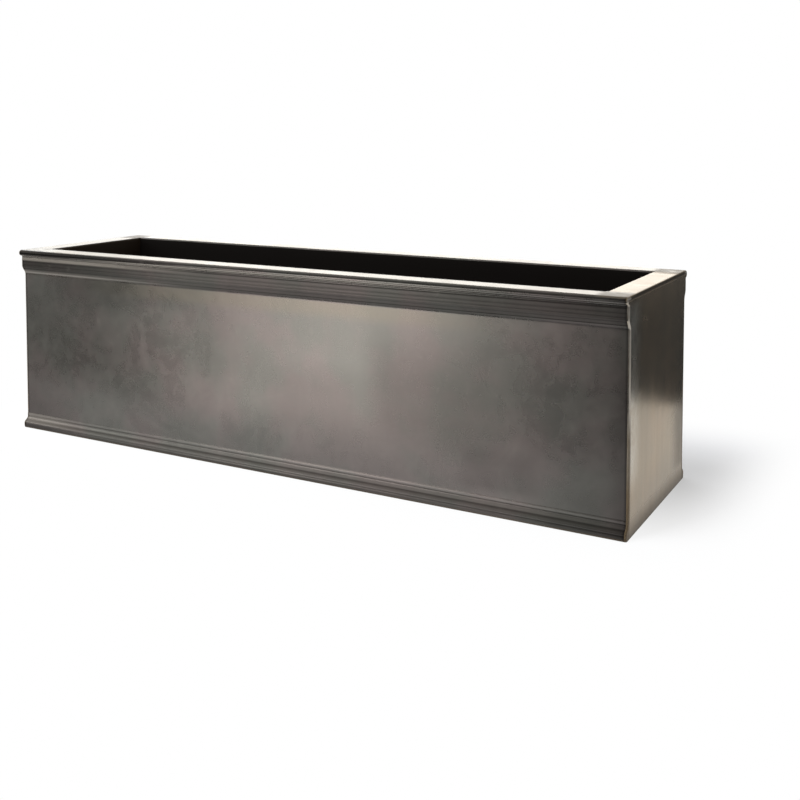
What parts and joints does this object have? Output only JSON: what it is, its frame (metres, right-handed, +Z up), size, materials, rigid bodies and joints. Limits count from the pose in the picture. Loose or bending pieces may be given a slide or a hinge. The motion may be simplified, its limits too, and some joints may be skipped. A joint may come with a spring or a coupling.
{
  "type": "window box",
  "caption": "Long open-topped window box with a flat rim, a reeded cornice and plinth on its long sides, flat ends and a drained floor.",
  "frame": {"origin": "middle of the base, on the surface that the box stands on", "axes": "+X along the box to its right end, -Y towards its front, +Z up"},
  "size_m": [0.915, 0.254, 0.265],
  "materials": {
    "dark_pewter": "burnished dark pewter patina, semi-gloss",
    "black_coat": "black protective coat on the inside, matt"
  },
  "bodies": {
    "root": {"front_panel": "dark_pewter", "back_panel": "dark_pewter", "left_end_panel": "dark_pewter", "right_end_panel": "dark_pewter", "floor_pan": "black_coat", "front_left_corner_angle": "black_coat", "front_right_corner_angle": "black_coat", "back_left_corner_angle": "black_coat", "back_right_corner_angle": "black_coat", "front_left_rim_plate": "black_coat", "front_right_rim_plate": "black_coat", "back_left_rim_plate": "black_coat", "back_right_rim_plate": "black_coat"}
  },
  "joints": []
}
